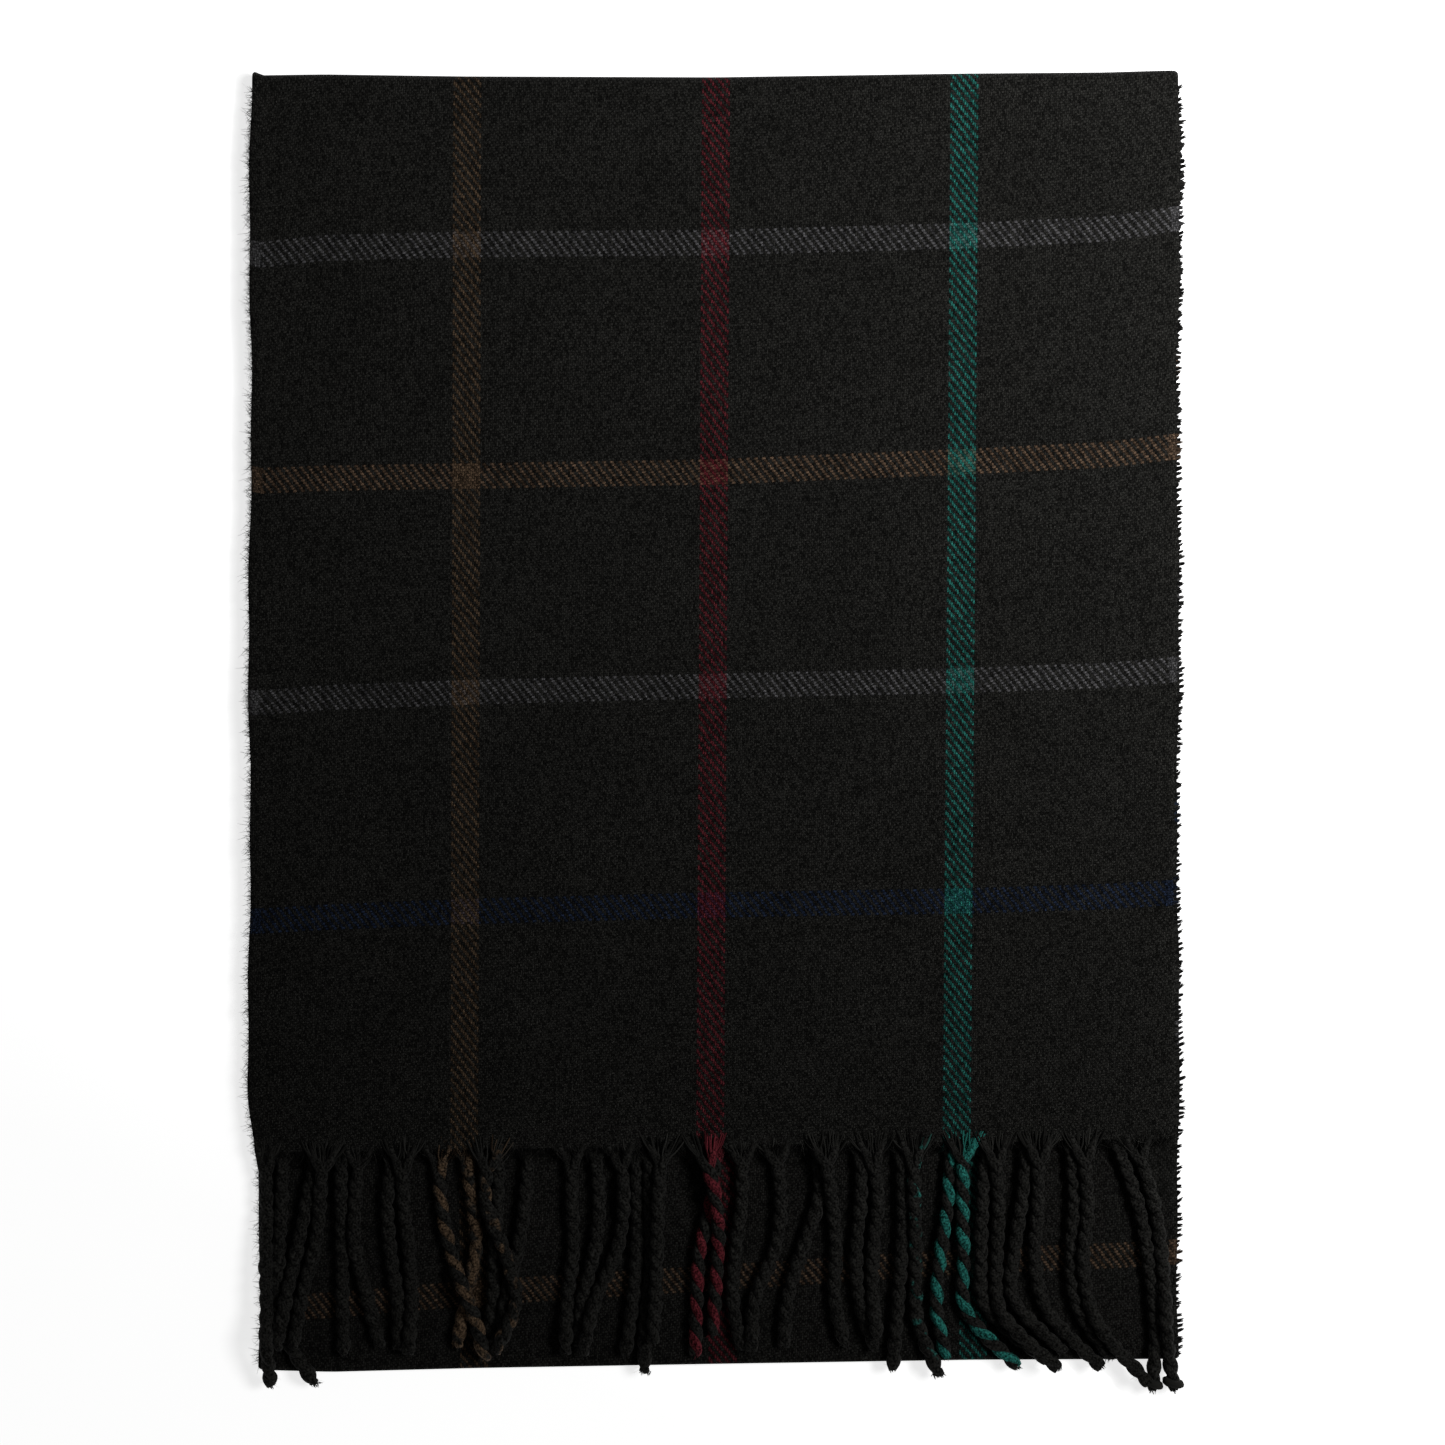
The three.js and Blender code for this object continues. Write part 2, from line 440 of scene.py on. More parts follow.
def weft_colour(finish, pick):
    """The colour of a weft thread, and 1 where it is in a stripe. The stripes go navy, grey, camel, grey."""
    row = (pick + 0.5) * PICK_PITCH - FIRST_WEFT_STRIPE
    stripe = (row / WEFT_STRIPE_PITCH).math("ROUND")
    real = (stripe > -0.5) * (stripe < LAST_WEFT_STRIPE + 0.5)
    in_stripe = (abs(row - stripe * WEFT_STRIPE_PITCH) < WEFT_STRIPE_HALF) * real
    kind = stripe % 4
    weft = finish.mix(abs(kind - 2) < 0.5, DYES["navy"], DYES["camel"])
    weft = finish.mix((kind % 2) > 0.5, weft, DYES["grey"])
    return finish.mix(in_stripe, DYES["black"], weft), in_stripe


def yarn_colour(finish, end, pick, warp_shows):
    """The colour of the thread that is on top, and 1 where two stripes cross."""
    warp, in_warp_stripe = warp_colour(finish, end)
    weft, in_weft_stripe = weft_colour(finish, pick)
    crossing = in_weft_stripe * in_warp_stripe
    weft = finish.mix(crossing * CROSSING_WARP, weft, warp)
    return finish.mix(warp_shows, weft, warp), crossing


# %% Twill finish
THREAD_SWAY = 0.35  # how far a thread strays from its straight line
SWAY_SCALE = 1.1
SELVEDGE_WEFT = 0.8  # how much of the warp the turning weft hides at the selvedge
# These two numbers also set the painted shade of a thread: it is painted darker towards its sides and where
# it dips under
THREAD_ROUND = 3.4  # how fast a thread darkens from its middle to its sides
FLOAT_ROUND = 0.8  # how fast it darkens to where it dips under
NAP_COVER = 0.62  # how much of a dye the thickest nap hides
BRUSHED_END = 260  # the fringed end is rougher over this length


def twill_finish():
    finish = Finish("brushed_twill")
    across, along, back = (finish.stored(name) for name in ("across", "along", "back"))
    where = finish.place(across, along)
    sway = finish.noise(where, SWAY_SCALE) - 0.5
    sway_too = finish.noise(finish.place(along, across, 7.0), SWAY_SCALE) - 0.5
    end_at = (across + sway * THREAD_SWAY) / END_PITCH
    pick_at = (along + sway_too * THREAD_SWAY) / PICK_PITCH
    end, pick = end_at.math("FLOOR"), pick_at.math("FLOOR")
    turned = back * FLOAT
    warp_on_top = ((end + pick + turned) % REPEAT) < FLOAT - 0.5
    weft_on_top = 1 - warp_on_top

    selvedge = abs(across) > CLOTH_WIDTH / 2 - SELVEDGE_WIDTH
    warp_shows = warp_on_top * (1 - selvedge * SELVEDGE_WEFT)
    yarn, crossing = yarn_colour(finish, end, pick, warp_shows)
    fuzz = finish.noise(where, 1.9, 4.0)
    nap = ((fuzz - 0.47) * 5.0).math("MAXIMUM", 0.0).math("MINIMUM", 1.0)
    colour = finish.mix(nap * NAP_COVER * (1 - crossing), yarn, DYES["black"])

    # Painted shade: a thread is painted lightest in the middle of its width and in the middle of its float
    over = (end_at - end - 0.5) * warp_on_top + (pick_at - pick - 0.5) * weft_on_top
    warp_float = (pick_at + end + turned) % REPEAT - 1
    weft_float = (end_at + pick + turned) % REPEAT - 3
    reach = warp_float * warp_on_top + weft_float * weft_on_top
    crown_height_and_painted_shade = (1 - over * over * THREAD_ROUND) * (1 - reach * reach * FLOAT_ROUND)

    # Its light also varies from fibre to fibre, from thread to thread and over the whole cloth
    grain = finish.noise(where, 3.2, 3.0)
    cloud = finish.noise(where, 0.035)
    speck = finish.speck(finish.place(end, pick))
    near_end = (1 - along / BRUSHED_END).math("MAXIMUM", 0.0)
    grit = ((grain - 0.5) * (4.6 + near_end * 4.0) + 1.0).math("MAXIMUM", 0.1)
    # The thread's crown paints shade into the colour; grit, speck and cloud add random tone
    light = (0.22 + crown_height_and_painted_shade * 1.25) * grit * (0.36 + speck * 1.28) * (0.8 + cloud * 0.4)
    height = crown_height_and_painted_shade * 0.55 + grain * 0.7 + fuzz * 0.5
    return finish.wool(finish.shade(colour, light), height, depth=0.22, sheen=0.03)


twill = twill_finish()
print("twill finish:", len(twill.node_tree.nodes), "nodes")

# %% [markdown]
# ## The cloth
#
# All four layers and three folds are one piece of cloth, so they are one mesh: a thin closed shell swept
# along a path that starts at one fringed end, goes up the top layer, over the outer fold, down the bottom
# layer, round the foot fold, up the third layer, back inside the inner fold and down the second layer to
# the other fringed end. The path's length is the cloth's real length, so every stripe falls where the
# weaver put it.

# %% Rows of the path
FOLD_TURNS = 9  # odd, so that no row lies in the middle of a fold, where the two halves part


def layer_rows(y_from, y_to, z, level, step):
    """Rows over a flat layer: along, up, the way that the path travels and the layer's level."""
    rows = np.linspace(y_from, y_to, round(abs(y_to - y_from) / step) + 1)
    travel = np.sign(y_to - y_from)
    return [(y, z, travel, 0.0, level) for y in rows]


def fold_rows(y, z_from, z_to, bulge, level_from, level_to):
    """Rows round a fold, which bulges towards the top (1) or the foot (-1)."""
    radius = abs(z_from - z_to) / 2
    rows = []
    for i in range(1, FOLD_TURNS):
        angle = math.pi * i / FOLD_TURNS
        height = (z_from + z_to) / 2 + (z_from - z_to) / 2 * math.cos(angle)
        travel_z = math.copysign(math.sin(angle), z_to - z_from)
        travel_y = bulge * math.cos(angle)
        level = level_from + (level_to - level_from) * i / FOLD_TURNS
        rows.append((y + bulge * radius * math.sin(angle), height, travel_y, travel_z, level))
    return rows


# %% The path through the layers
top_z, second_z, third_z, bottom_z = (middle_height(node) for node in (TOP, SECOND, THIRD, BOTTOM))
FOOT_AXIS_Y = FOOT_LINE_Y + (third_z - bottom_z) / 2 + THICK / 2
CLOSE_ROWS_TO_Y = ENDS_Y + 8  # the fringed end thins out and lifts here, so its rows are close together
path = [
    *layer_rows(ENDS_Y, CLOSE_ROWS_TO_Y, top_z, 3, 1.0)[:-1],
    *layer_rows(CLOSE_ROWS_TO_Y, HINGE_Y, top_z, 3, 3.2),
    *fold_rows(HINGE_Y, top_z, bottom_z, 1, 3, 0),
    *layer_rows(HINGE_Y, FOOT_AXIS_Y, bottom_z, 0, 5.0),
    *fold_rows(FOOT_AXIS_Y, bottom_z, third_z, -1, 0, 1),
    *layer_rows(FOOT_AXIS_Y, HINGE_Y, third_z, 1, 4.0),
    *fold_rows(HINGE_Y, third_z, second_z, 1, 1, 2),
    *layer_rows(HINGE_Y, ENDS_Y, second_z, 2, 5.0),
]
path = np.array(path)
path_far = np.concatenate([[0], np.cumsum(np.hypot(*np.diff(path[:, :2], axis=0).T))])
CLOTH_LENGTH = path_far[-1]
print("cloth length without fringe", round(CLOTH_LENGTH), "mm in", len(path), "rows")

# %% [markdown]
# Real cloth never lies quite true. Its folds and ends aren't ruler-straight, its stripes wander, and the
# two upper layers ride on small waves. The waves are sums of sines. The rest are short tables of how much
# it strays at a few places across the cloth, with straight steps between.

# %% How far the cloth strays
COLUMNS = np.array([-160, -157, -135, -86, 0, 86, 135, 158, 160])  # the places that the tables are for
FOLD_AT_TOP = [0.4, -1.1, -0.8, -1.5, -1.8, -0.5, -0.1, 0.6, 0.5]
FOLD_AT_FOOT = [-1.9, -2.1, -2.7, -1.4, 0.1, 1.5, 1.7, 1.8, 1.8]
FRINGED_END = [-2.4, -2.3, -1.9, -1.0, 0.2, 1.2, 2.2, 2.7, 2.8]
# How far each weft line is shifted along the cloth: one row for each distance from the upper fringed end
SHIFT_AT = [0, 83, 159, 233, 312, 372, 760, 848, 1240, 1629]
SHIFTS = [
    [-2.0, -2.0, -1.6, -0.6, 0.9, 1.2, 1.8, 2.4, 2.4],
    [-3.2, -2.9, -2.0, -0.5, 0.9, 1.2, 1.8, 2.6, 2.6],
    [-5.6, -5.3, -3.8, -2.1, -0.4, 0.3, 1.3, 2.7, 2.8],
    [-5.3, -5.1, -4.6, -3.8, -2.7, -0.3, 1.5, 3.5, 3.6],
    [-5.0, -4.7, -2.6, -0.9, -0.2, 0.9, 2.7, 5.7, 5.8],
    [-4.5, -4.3, -2.6, -0.9, 0.0, 1.0, 2.6, 5.0, 5.0],
    [-10.5, -10.4, -9.0, -6.0, -1.3, 3.7, 6.6, 8.0, 8.1],
    [-11.2, -11.0, -9.4, -6.4, -2.4, 2.0, 3.6, 4.7, 4.8],
    [-4.0, -4.0, -3.0, -2.0, 0.0, 2.0, 3.0, 4.0, 4.0],
    [-2.0, -2.0, -1.6, -1.0, 0.0, 1.2, 1.8, 2.4, 2.4],
]
# How far the threads drift sideways: at the top, at the fringed ends and on the two lower layers
DRIFT_AT_TOP = [0.1, 0.0, -0.2, -0.3, -0.3, -0.4, -0.4, -0.2, -0.2]
DRIFT_AT_END = [-0.7, -0.8, -1.1, -1.3, -2.4, -3.2, -2.9, -2.3, -2.2]
DRIFT_BELOW = [-0.7, -0.8, -0.8, -0.6, 0.4, 2.2, 1.2, -0.1, -0.1]
CORNER_DRAWN_IN = 2.2  # the first cord pulls the left corner of the fringed end in by this much,
CORNER_LENGTH = 26  # over this length
CORNER_WIDTH = 14  # and this width

# %% Columns of the shell
CLIPPED_IN = 1.1  # the solid cloth stops this far short of the tips of its clipped selvedge
EDGE_STEPS = np.array([0, 0.7, 1.8, 3.5])  # the columns are close together at both selvedges
INNER_FROM = 6.5
INNER_COLUMNS = 78
inner = np.linspace(LEFT + INNER_FROM, RIGHT - INNER_FROM, INNER_COLUMNS)
columns_x = np.concatenate([LEFT + EDGE_STEPS, inner, RIGHT - CLIPPED_IN - EDGE_STEPS[::-1]])
print(len(columns_x), "columns, about", round(inner[1] - inner[0], 1), "mm apart")


# %% How the cloth lies
FLAT_NEAR_FOLD = 30  # the waves die out over this length at the top
END_LIFT = 0.5  # the fringed ends are lifted by this much by the cords under them,
END_LIFT_LENGTH = 7  # over about this length
INSET_FROM_Y = 40  # the lower layers are drawn in from here down,
INSET_LENGTH = 260  # over this length


def table(values, x):
    """What a table says at places across the cloth."""
    return np.interp(x, COLUMNS, values)


def waves(x, y):
    """How high the upper layers ride above flat, never below it."""
    slow = np.sin(x / 41 + 0.6 * np.sin(y / 57)) * np.sin(y / 63 + 0.8) + 0.5 * np.sin(y / 29 - x / 75)
    quick = np.sin(x / 11.5 + y / 17) * np.sin(y / 13.2 - x / 31)
    near_fold = ease((TOP_LINE_Y - y) / FLAT_NEAR_FOLD)
    return (0.75 + 0.38 * slow + 0.07 * quick) * near_fold


def lift_at_end(y, end_y):
    return END_LIFT * np.exp(-np.maximum(y - end_y, 0) / END_LIFT_LENGTH)


def wobble(x, y):
    """How far the selvedges stray from side to side."""
    stray = 0.45 * np.sin(y / 23) + 0.25 * np.sin(y / 7.3)
    return stray * ease((np.abs(x) - 120) / 40) * np.sign(x)


def lie_along(x, y, is_upper):
    """Where a point lies along the cloth, between the fold at the top and the fringed end or the foot."""
    low, stray = (ENDS_Y, FRINGED_END) if is_upper else (FOOT_LINE_Y, FOLD_AT_FOOT)
    share = np.clip((TOP_LINE_Y - y) / (TOP_LINE_Y - low), 0, 1)
    return y + table(FOLD_AT_TOP, x) * (1 - share) + table(stray, x) * share


def lie_across(x, y, end_y, upper):
    """Where a point lies across the cloth."""
    down = np.clip((TOP_LINE_Y - y) / (TOP_LINE_Y - ENDS_Y), 0, 1)
    leftness = np.clip((x - RIGHT) / (LEFT - RIGHT), 0, 1)
    inset = (LOWER_LEFT - LEFT) * leftness * (1 - upper) * ease((INSET_FROM_Y - y) / INSET_LENGTH)
    drift = table(DRIFT_AT_END, x) * upper + table(DRIFT_BELOW, x) * (1 - upper)
    low = ease((end_y + CORNER_LENGTH - y) / CORNER_LENGTH)
    left = ease((LEFT + CORNER_WIDTH - x) / CORNER_WIDTH)
    corner = CORNER_DRAWN_IN * low * left * upper
    return x + table(DRIFT_AT_TOP, x) * (1 - down) + drift * down + inset + wobble(x, y) + corner


def lie(x, row, level):
    """Where a point of the flat path lies: sideways, along and up."""
    y, z = row
    upper = np.clip(level - 1, 0, 1)
    end_y = ENDS_Y + table(FRINGED_END, x)
    new_y = lie_along(x, y, upper > 0.5)
    new_x = lie_across(x, y, end_y, upper)
    rise = (waves(x, new_y) + lift_at_end(new_y, end_y)) * np.clip(level - 1.0, 0, 2) / 2
    return new_x, new_y, z + rise


# %% One ring of the shell
EDGE_BULGE = 0.45  # the selvedges are round, and reach this far past the outermost columns
OUTER_BEVEL = 0.55  # the share of the thickness that is left at the outermost column
NEXT_BEVEL = 0.9  # and at the one beside it
END_THINNING = 0.7  # the fringed ends lose this share of the thickness,
END_THINNING_LENGTH = 3  # over about this length


def weft_shift(far):
    """The table of shifts at one distance along the cloth."""
    return np.array([np.interp(far, SHIFT_AT, column) for column in zip(*SHIFTS)])


def shell_ring(row, far):
    """The points round one row of the cloth: its face, its right edge, its back and its left edge."""
    y, z, travel_y, travel_z, level = row
    from_end = min(far, CLOTH_LENGTH - far)
    half = THICK / 2 * (1 - END_THINNING * math.exp(-from_end / END_THINNING_LENGTH))
    x, new_y, new_z = lie(columns_x, (y, z), level)
    middle = np.column_stack([x, new_y, new_z])
    bevel = np.ones(len(x))
    bevel[[0, -1]] = OUTER_BEVEL
    bevel[[1, -2]] = NEXT_BEVEL
    outwards = np.array([0.0, -travel_z, travel_y]) * half * bevel[:, None]
    right_edge = middle[-1:] + [EDGE_BULGE, 0, 0]
    left_edge = middle[:1] - [EDGE_BULGE, 0, 0]
    return np.vstack([middle + outwards, right_edge, (middle - outwards)[::-1], left_edge])


def there_and_back(numbers):
    """Numbers for a row's columns, repeated for every point round its ring."""
    return np.concatenate([numbers, numbers[-1:], numbers[::-1], numbers[:1]])


# %% The shell
def end_caps(first, last):
    """Faces that close the shell at its two fringed ends."""
    n = len(columns_x)
    faces = []
    for row, order in ((first, 1), (last, -1)):
        pairs = list(zip(row[:n], row[n + 1 : 2 * n + 1][::-1]))
        for (a, b), (c, d) in zip(pairs, pairs[1:]):
            faces.append([a, c, d, b][::order])
        faces.append([row[n - 1], row[n], row[n + 1]][::order])
        faces.append([row[0], row[2 * n], row[2 * n + 1]][::order])
    return faces


def cloth_shell():
    rings = [shell_ring(row, far) for row, far in zip(path, path_far)]
    along = [there_and_back(far - np.interp(columns_x, COLUMNS, weft_shift(far))) for far in path_far]
    back = np.concatenate([np.zeros(len(columns_x)), [0.5], np.ones(len(columns_x)), [0.5]])
    index = np.arange(len(rings) * len(rings[0])).reshape(len(rings), -1)
    beside = np.roll(index, -1, 1)
    quads = np.stack([beside[:-1], beside[1:], index[1:], index[:-1]], -1)
    faces = quads.reshape(-1, 4).tolist() + end_caps(index[0].tolist(), index[-1].tolist())
    values = {
        "across": np.tile(there_and_back(columns_x), len(rings)),
        "along": np.concatenate(along),
        "back": np.tile(back, len(rings)),
    }
    return make_piece("folded_cloth", np.vstack(rings), faces, values, twill)


cloth = cloth_shell()
print("cloth mesh:", len(cloth.data.polygons), "faces")

# %% [markdown]
# ## The fringe cords' finish
#
# A cord is two bundles of warp yarn, each twisted tightly and then laid round each other. Where a stripe
# meets the fringe, one bundle takes the dyed yarn and the other is mostly black, so the cord is flecked
# like a barber's pole. The number stored as `dyed` says how much of the bundle is dyed yarn. Noise that is
# stretched along the cord gives it the streaks of its yarns.

# %% Cord finish
FLECK_EDGE = 6.0  # how sharply dyed flecks end
DYED_LIGHT = 0.25  # dyed yarn is this much lighter than its dye alone


def cord_finish(name, dye):
    finish = Finish(name)
    dyed, around, far = (finish.stored(key) for key in ("dyed", "around", "far"))
    streak = finish.noise(finish.place(around * 3.0, far * 0.35, dyed), 1.6, 3.0)
    fleck = finish.noise(finish.place(around * 2.0, far * 0.5, dyed * 3.0), 0.9, 1.0)
    tinted = (dyed + (fleck - 0.5) * 0.9 - 0.5) * FLECK_EDGE + 0.5
    tinted = tinted.math("MAXIMUM", 0.0).math("MINIMUM", 1.0)
    colour = finish.mix(tinted, DYES["black"], DYES[dye])
    grain = finish.noise(finish.place(around * 4.0, far * 0.9, 3.0), 1.9, 3.0)
    grit = ((grain - 0.5) * 6.5 + 1.05).math("MAXIMUM", 0.12)
    light = (0.66 + streak) * grit * (1 + tinted * DYED_LIGHT)
    return finish.wool(finish.shade(colour, light), streak + grain * 0.6, depth=0.4, sheen=0.04)


CORD_DYES = ("brown", "burgundy", "green", "black")
CORD_FINISHES = {f"fringe_{dye}": cord_finish(f"fringe_{dye}", dye) for dye in CORD_DYES}
print("cord finishes:", sorted(CORD_FINISHES))

# %% [markdown]
# ## The fringe cords
#
# Each bundle is a tube swept along a helix round the cord's centre line. Where the bundles leave the cloth
# they start apart, one on each side, and meet a few millimetres down, which makes the small V that every
# real twisted fringe has. A fan of single warp yarns runs from the cloth's end into each bundle. The cut
# tips are blunt with a tuft of loose fibres, and fine hairs stand off along the cord.

# %% Cord sizes
TWIST_PITCH = 11.5
BUNDLE_RADIUS = 1.68
BUNDLE_OFFSET = 0.84  # from the cord's centre line to the bundle's
CORD_STEP = 0.9
BUNDLE_SIDES = 16
YARNS_IN_A_BUNDLE = 5
YARN_RIDGE = 0.05
YARN_TURN = -0.55  # how far the yarns of a bundle turn round it in one step
HAIRS_ON_A_BUNDLE = 60
HAIR_RADIUS = 0.035
HAIR_LENGTHS = (0.8, 2.6)
FAN_YARNS = 11
FAN_YARN_RADIUS = 0.3
FAN_REACH = {"upper": 3.7, "under": 3.0}
ROOT_SPREAD = {"upper": 4.2, "under": 3.0}
MERGE_LENGTH = {"upper": 12.0, "under": 9.0}
TIP_FIBRES = 12
TIP_FIBRE_RADIUS = 0.24
KNOT_STEPS = 22
KNOT_SIZE = 2.2
KNOT_THICKNESS = 1.45
# The dyed share of a cord's two bundles, for the cords that continue a stripe
DYED_CORDS = {
    "under_05": ("fringe_brown", 0.75, 0.5),
    "upper_05": ("fringe_brown", 0.62, 0.0),
    "upper_06": ("fringe_brown", 0.44, 0.0),
    "under_11": ("fringe_burgundy", 1.0, 0.1),
    "upper_10": ("fringe_burgundy", 1.0, 0.1),
    "under_15": ("fringe_green", 1.0, 0.12),
    "upper_16": ("fringe_green", 1.0, 0.15),
    "upper_15": ("fringe_green", 0.36, 0.0),
}
KNOTTED = {"under_19", "upper_20"}
print(len(DYED_CORDS), "cords carry dyed yarn and", len(KNOTTED), "end in a knot")


# %% Lines of a cord
def end_of(key):
    """Which fringed end a cord belongs to: upper or under."""
    return key.split("_")[0]


def cord_centre(key, middles):
    """The centre line, carried on at its root into the end of its own layer."""
    x = middles[0][0]
    end_y = ENDS_Y + float(table(FRINGED_END, x))
    level, z = (3, top_z) if end_of(key) == "upper" else (2, second_z)
    _, _, root_z = lie(np.array([x]), (ENDS_Y, z), level)
    root = np.array([x, end_y + 1.6, float(root_z[0])])
    keep = middles[middles[:, 1] < end_y - 3.0]
    return smooth_line(np.vstack([root, keep]), CORD_STEP)


def root_spread(key, x):
    """How far apart the two bundles start, less where the selvedge is near."""
    room = min(x - LEFT, RIGHT - x) - 2.0
    return float(np.clip(room, 0.8, ROOT_SPREAD[end_of(key)]))


def bundle_line(line, far, key, phase, which):
    """The helix of one of a cord's two bundles, which starts beside the cord's centre line."""
    _, side, up = axes_along(line)
    angle = (phase + 2 * math.pi * far / TWIST_PITCH + math.pi * which)[:, None]
    helix = BUNDLE_OFFSET * (np.cos(angle) * side + 0.86 * np.sin(angle) * up)
    hand = 1 if which == 0 else -1
    apart = np.array([hand * root_spread(key, line[0][0]), 0, 0])
    joined = ease(far / MERGE_LENGTH[end_of(key)])[:, None]
    return line + joined * helix + (1 - joined) ** 1.3 * apart


def knot_line(centre, ahead, size):
    """One turn of the cord round itself."""
    t = np.linspace(0, 2 * math.pi, KNOT_STEPS)[:, None]
    side = unit(np.cross(ahead, [0, 0, 1]))
    up = np.cross(side, ahead)
    return centre + size * (np.cos(t) * side + 0.8 * np.sin(t) * up) + ahead * (np.sin(t / 2) * 2.2 - 1.0)


# %% Loose yarns and hairs of a cord
def root_fan(strand, key, rng):
    """The warp yarns of one bundle, spread along the cloth's end and gathered lower down."""
    reach = FAN_REACH[end_of(key)]
    for offset in np.linspace(-reach, reach, FAN_YARNS) + rng.uniform(-0.4, 0.4, FAN_YARNS):
        joins = rng.integers(5, 10)
        x = float(np.clip(strand[0][0] + offset, LEFT + 1, RIGHT - 1))
        start = np.array([x, strand[0][1] + rng.uniform(-0.5, 3.5), strand[0][2] + 0.2])
        below = strand[joins] + [0, 0, rng.uniform(0.2, 0.9)]
        middle = start * 0.45 + below * 0.55 + [0.2 * offset, 0, 0.3]
        line, _ = smooth_line(np.array([start, middle, below]), 0.8)
        yield tube(line, np.full(len(line), FAN_YARN_RADIUS), 5)


def hairs(line, rng):
    """Fine hairs standing off a bundle at places spread along it."""
    count = HAIRS_ON_A_BUNDLE
    picks = rng.integers(2, len(line) - 1, count)
    ways = unit(rng.normal(size=(count, 3)) * [1, 0.7, 0.55] + [0, -0.35, 0.15])
    roots = line[picks] + ways * (BUNDLE_RADIUS * 0.9)
    bends = rng.normal(size=(count, 3)) * [0.4, 0.4, 0.15]
    return fibres(roots, ways, rng.uniform(*HAIR_LENGTHS, count), bends, HAIR_RADIUS)


def tip_tuft(line, rng):
    """Short thick fibres at a bundle's cut tip."""
    size = (TIP_FIBRES, 3)
    ahead = unit(line[-1] - line[-3])
    roots = line[-1] + rng.normal(size=size) * 0.55 - ahead * 0.5
    ways = unit(ahead + rng.normal(size=size) * 0.32)
    lengths = rng.uniform(0.7, 1.5, TIP_FIBRES)
    bends = rng.normal(size=size) * 0.15
    return fibres(roots, ways, lengths, bends, TIP_FIBRE_RADIUS)


# %% Make the cords
def bundle_radii(far, seed):
    """A bundle's radius: thin at its root, a little uneven, and thinner again at its tip."""
    taper = 1 - 0.38 * (1 - ease(far / 7.0))
    swell = 1 + 0.06 * np.sin(far / 3.1 + seed) + 0.05 * np.sin(far / 1.3 + 2 * seed)
    swell *= 1 - 0.22 * ease((far - far[-1] + 3) / 3)
    return BUNDLE_RADIUS * taper * swell


def make_cord(node):
    key = node.replace("fringe_cord_", "")
    seed = int(key[-2:]) + (100 if key.startswith("upper") else 0)
    rng = np.random.default_rng(seed)
    line, far = cord_centre(key, cord_lines[node])
    slot, *dyed = DYED_CORDS.get(key, ("fringe_black", 0.0, 0.0))
    phase = rng.uniform(0, 2 * math.pi)
    bundle = Bundle()
    radii = bundle_radii(far, seed)
    turn = np.arange(BUNDLE_SIDES) / BUNDLE_SIDES
    for which in (0, 1):
        strand = bundle_line(line, far, key, phase, which)
        points, faces = tube(strand, radii, BUNDLE_SIDES, YARNS_IN_A_BUNDLE, YARN_RIDGE, YARN_TURN)
        around = np.tile(1 - abs(2 * turn - 1), len(strand)) + which * 3
        bundle.add(points, faces, dyed=dyed[which], around=around, far=np.repeat(far, BUNDLE_SIDES))
        points, faces = hairs(strand, rng)
        bundle.add(points, faces, dyed=dyed[which], around=0.5, far=rng.uniform(0, 60, len(points)))
        for points, faces in root_fan(strand, key, rng):
            bundle.add(points, faces, dyed=dyed[which], around=0.3, far=rng.uniform(0, 60))
        points, faces = tip_tuft(strand, rng)
        bundle.add(points, faces, dyed=dyed[which], around=0.5, far=60.0)
    if key in KNOTTED:
        turn_line = knot_line(line[-4], unit(line[-1] - line[-4]), KNOT_SIZE)
        points, faces = tube(turn_line, np.full(KNOT_STEPS, KNOT_THICKNESS), 12, 4, 0.08, -0.5)
        bundle.add(points, faces, dyed=0.0, around=0.2, far=70.0)
    cord = bundle.piece("twisted_" + key, CORD_FINISHES[slot])
    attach(cord, "upper_half")
    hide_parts(node)
    return cord


cords = [make_cord(node) for node in CORD_NAMES]
cord_lengths = [smooth_line(line, 1.0)[1][-1] for line in cord_lines.values()]
print(len(cords), "cords,", round(min(cord_lengths)), "to", round(max(cord_lengths)), "mm long")

# %% [markdown]
# ## Cut ends and loose fibres along the edges
#
# At the right selvedge the weft picks are clipped short, which leaves a row of tiny tufts. The left
# selvedge and the fringed ends only shed soft fibres. Fibres this thin are geometry and not a texture,
# because they show against the pale floor. Each one carries the same numbers as the cloth beside it, so a
# tuft in a grey stripe is grey.

# %% Places on the cloth
def edge_point(x, y, level):
    """Where a place on a flat layer really lies."""
    z = (bottom_z, third_z, second_z, top_z)[level]
    px, py, pz = lie(np.asarray(x), (np.asarray(y), z), level)
    return np.column_stack([px, np.broadcast_to(py, px.shape), np.broadcast_to(pz, px.shape)])


def along_at(y, level):
    """How far along the cloth a place on a layer is."""
    rows = path[:, 4] == level
    order = np.argsort(path[rows, 0])
    return np.interp(y, path[rows, 0][order], path_far[rows][order])


def shifted_along(x, y, level):
    """The same, with the shift of the weft lines taken off."""
    far = along_at(y, level)
    shift = weft_shift(far)
    return far - np.array([np.interp(a, COLUMNS, shift[:, i]) for i, a in enumerate(x)])


def add_fibres(bundle, x, y, level, ways, lengths, bends, radius):
    roots = np.vstack([edge_point(x[i : i + 1], y[i], level) for i in range(len(x))])
    points, faces = fibres(roots, ways, lengths, bends, radius)
    across = np.repeat(x, HAIR_POINTS)
    along = np.repeat(shifted_along(x, y, level), HAIR_POINTS)
    bundle.add(points, faces, back=0.0, across=across, along=along)


